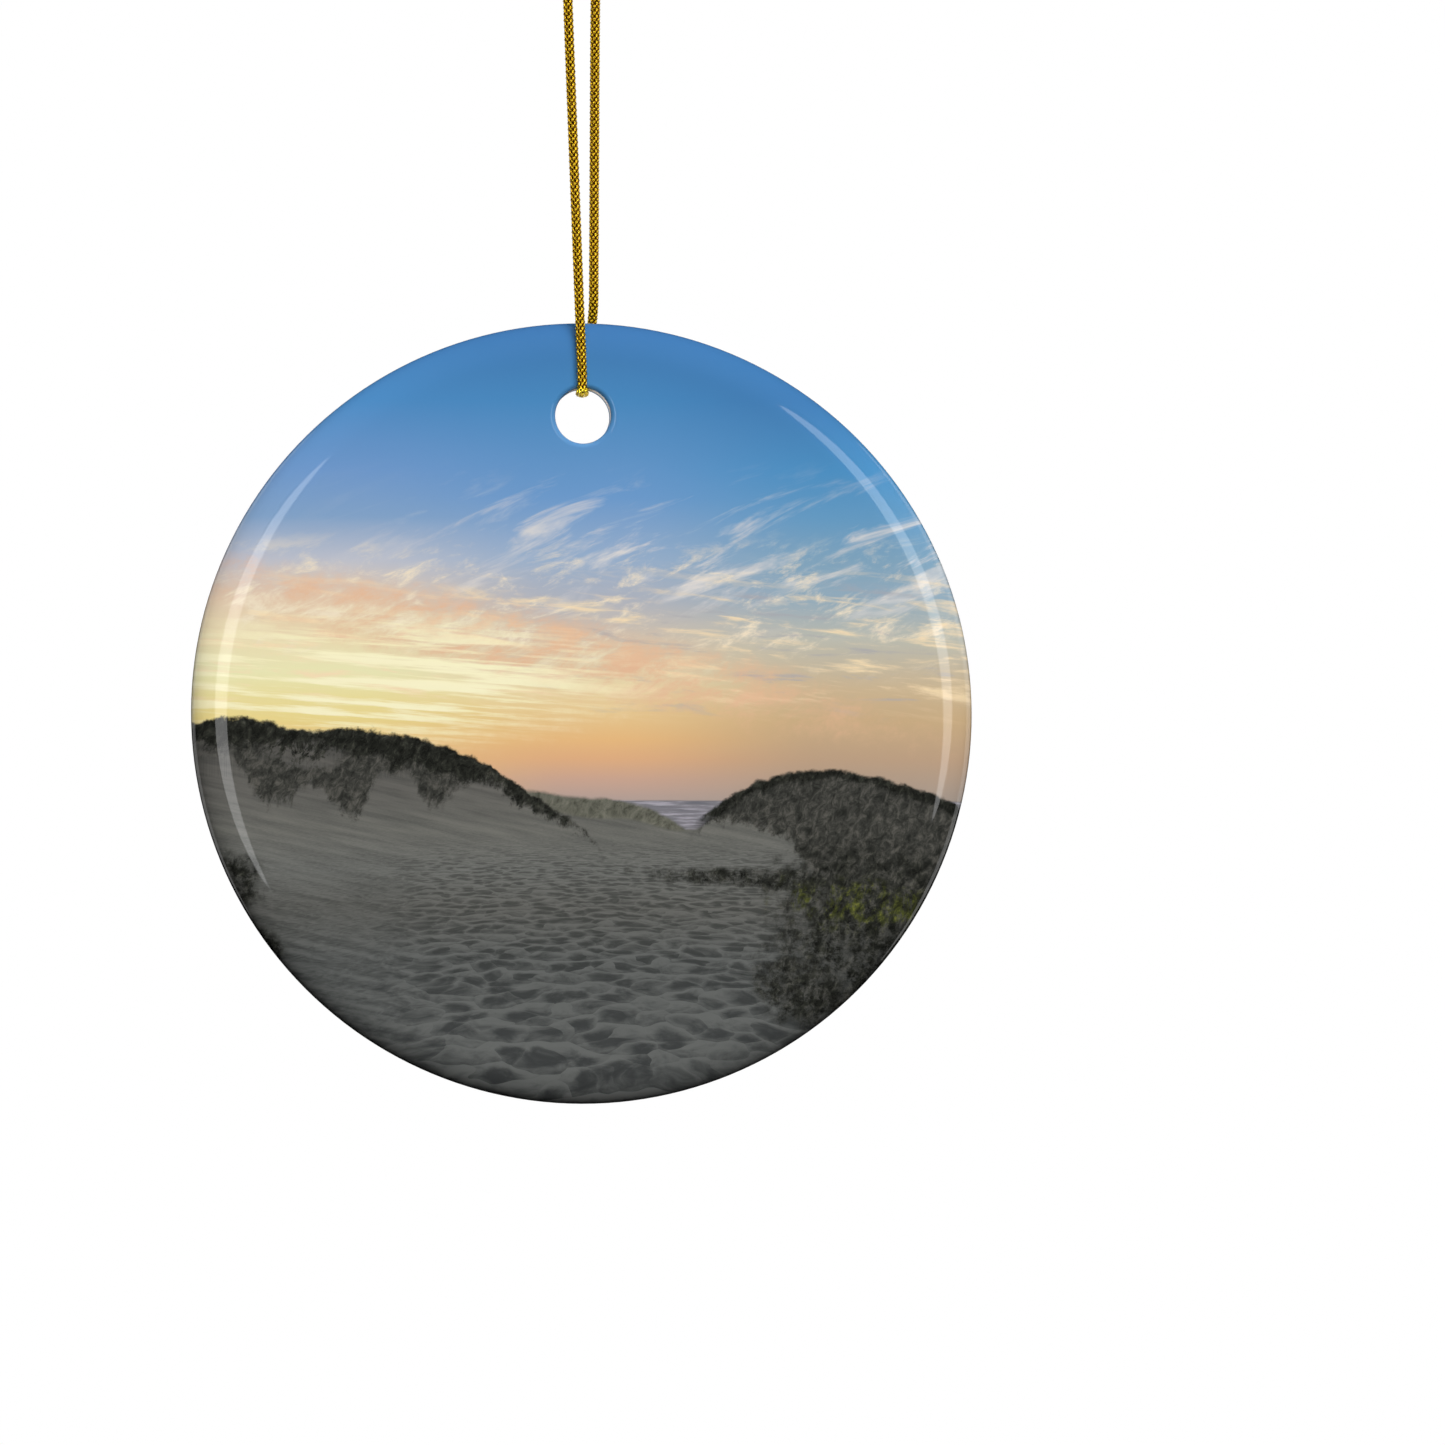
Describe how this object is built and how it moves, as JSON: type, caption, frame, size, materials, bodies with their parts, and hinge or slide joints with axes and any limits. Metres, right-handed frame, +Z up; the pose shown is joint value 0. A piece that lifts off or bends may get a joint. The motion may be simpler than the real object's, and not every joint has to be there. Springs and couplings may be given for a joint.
{
  "type": "souvenir christmas ornament",
  "caption": "Round flat ceramic ornament with a printed dune landscape on both faces, hung by a loop of gold braided cord through a hole near its top edge.",
  "frame": {"origin": "axis of the hook or twig that the top of the cord loop hangs over, 78 mm straight above the centre of the disc's hole", "axes": "+Z up, the way the hook pulls; -Y is the way the printed front faces, so +Y runs through the disc's thickness; +X is to the right seen from the front"},
  "size_m": [0.0702, 0.005, 0.1593],
  "materials": {
    "bare_ceramic": "fired white ceramic, satin where bare",
    "front_print": "clear gloss polymer coat with a dyed picture of dunes at sunset",
    "back_print": "clear gloss polymer coat with a dyed picture of dunes at sunset",
    "gold_cord": "braided metallic gold yarn"
  },
  "bodies": {
    "loop_top": {"cord_front_leg": "gold_cord", "cord_back_leg": "gold_cord", "cord_knot": "gold_cord", "cord_front_tail": "gold_cord", "cord_back_tail": "gold_cord"},
    "strands": {"cord_front_strand": "gold_cord", "cord_back_strand": "gold_cord", "cord_hole_bend": "gold_cord"},
    "disc": {"ceramic_disc": "bare_ceramic", "front_print_coat": "front_print", "back_print_coat": "back_print"}
  },
  "joints": [
    {"name": "cord_twist", "type": "hinge", "parent": "loop_top", "child": "strands", "pos_m": [0, 0, 0], "axis": [0, 0, 1], "range_deg": [-180, 180]},
    {"name": "disc_swing", "type": "hinge", "parent": "strands", "child": "disc", "pos_m": [0, 0, -0.078], "axis": [0, 1, 0], "range_deg": [-60, 60]}
  ]
}
